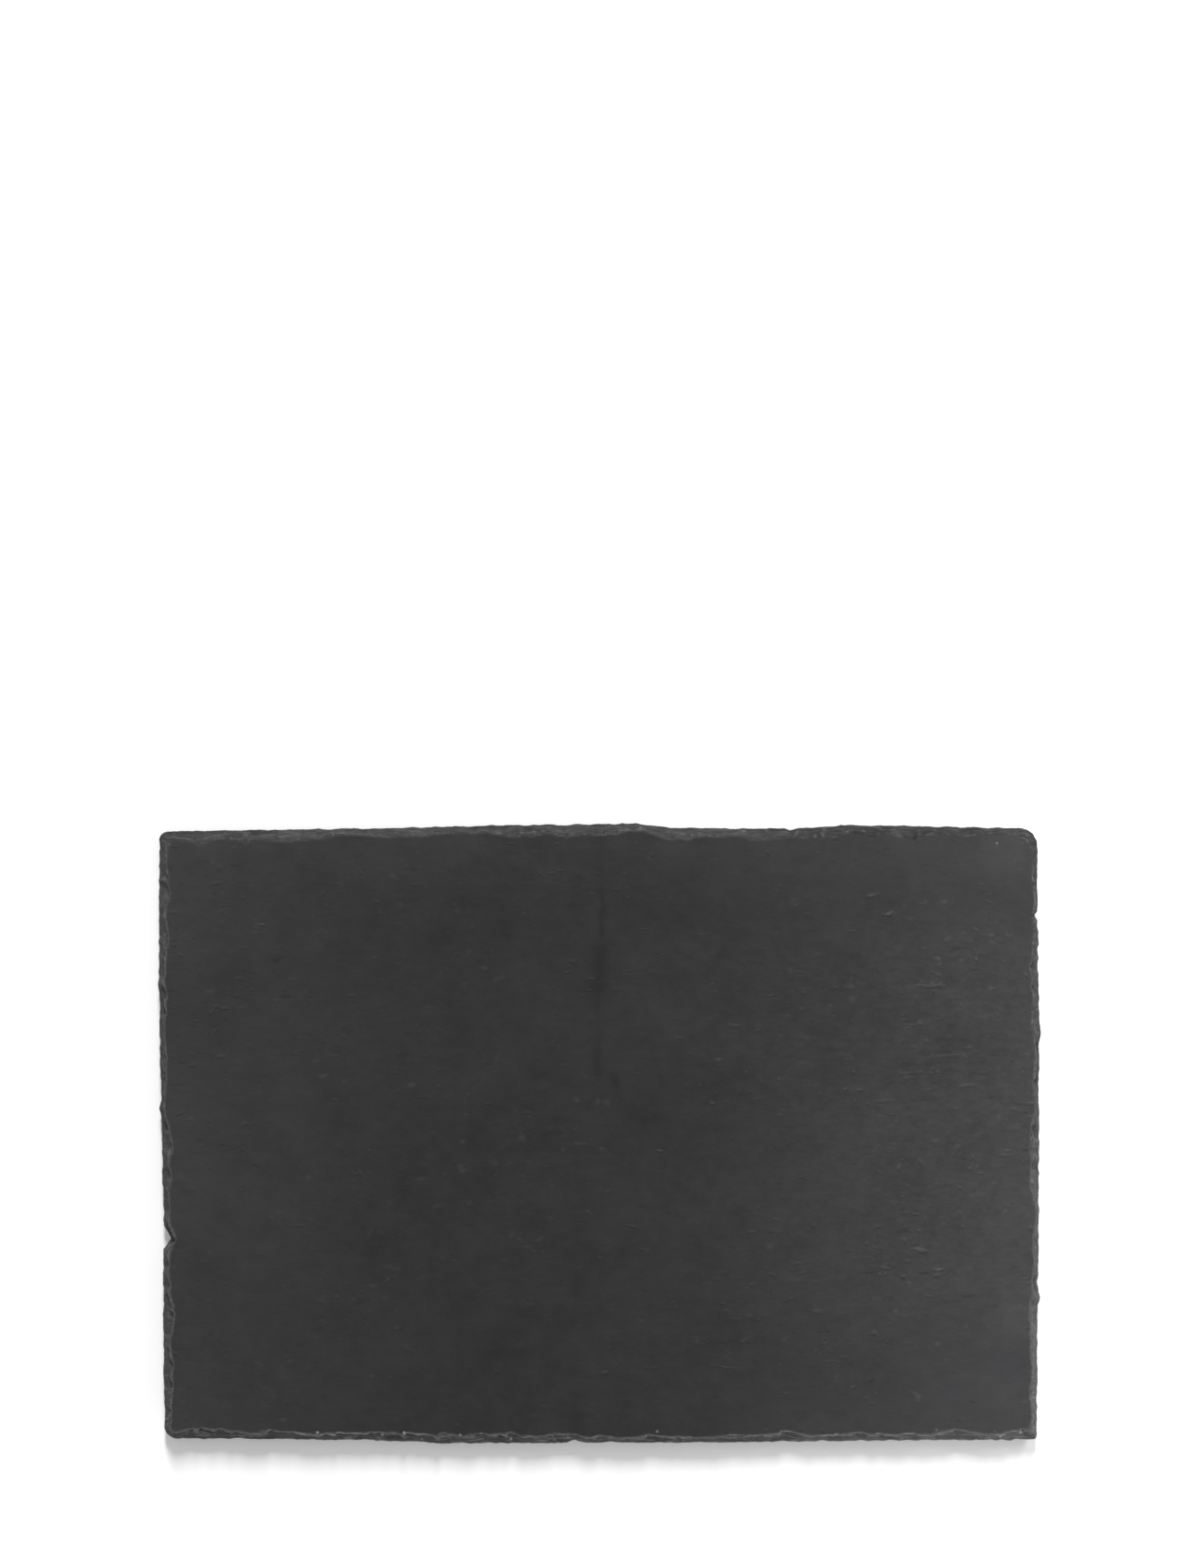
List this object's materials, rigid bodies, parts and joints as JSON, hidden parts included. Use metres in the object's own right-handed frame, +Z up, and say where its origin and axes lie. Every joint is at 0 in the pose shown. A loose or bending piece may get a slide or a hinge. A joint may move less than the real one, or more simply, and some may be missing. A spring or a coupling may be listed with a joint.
{
  "type": "slate serving board",
  "caption": "Flat rectangular serving board of dark riven slate with hand-flaked, bevelled edges, a fine natural seam in its face, and rubber feet stuck underneath.",
  "frame": {"origin": "on the table, under the middle of the board", "axes": "+X along the long side, to the right of somebody facing the board; +Y towards the back long side, where the seam starts; +Z up, out of the serving face"},
  "size_m": [0.33, 0.232, 0.0085],
  "materials": {
    "slate": "matte",
    "foot_rubber": "matte",
    "adhesive": "satin"
  },
  "bodies": {
    "root": {"slate_slab": "slate", "foot_front_left": "foot_rubber", "foot_front_right": "foot_rubber", "foot_back_left": "foot_rubber", "foot_back_right": "foot_rubber", "adhesive_front_left": "adhesive", "adhesive_front_right": "adhesive", "adhesive_back_left": "adhesive", "adhesive_back_right": "adhesive"}
  },
  "joints": []
}
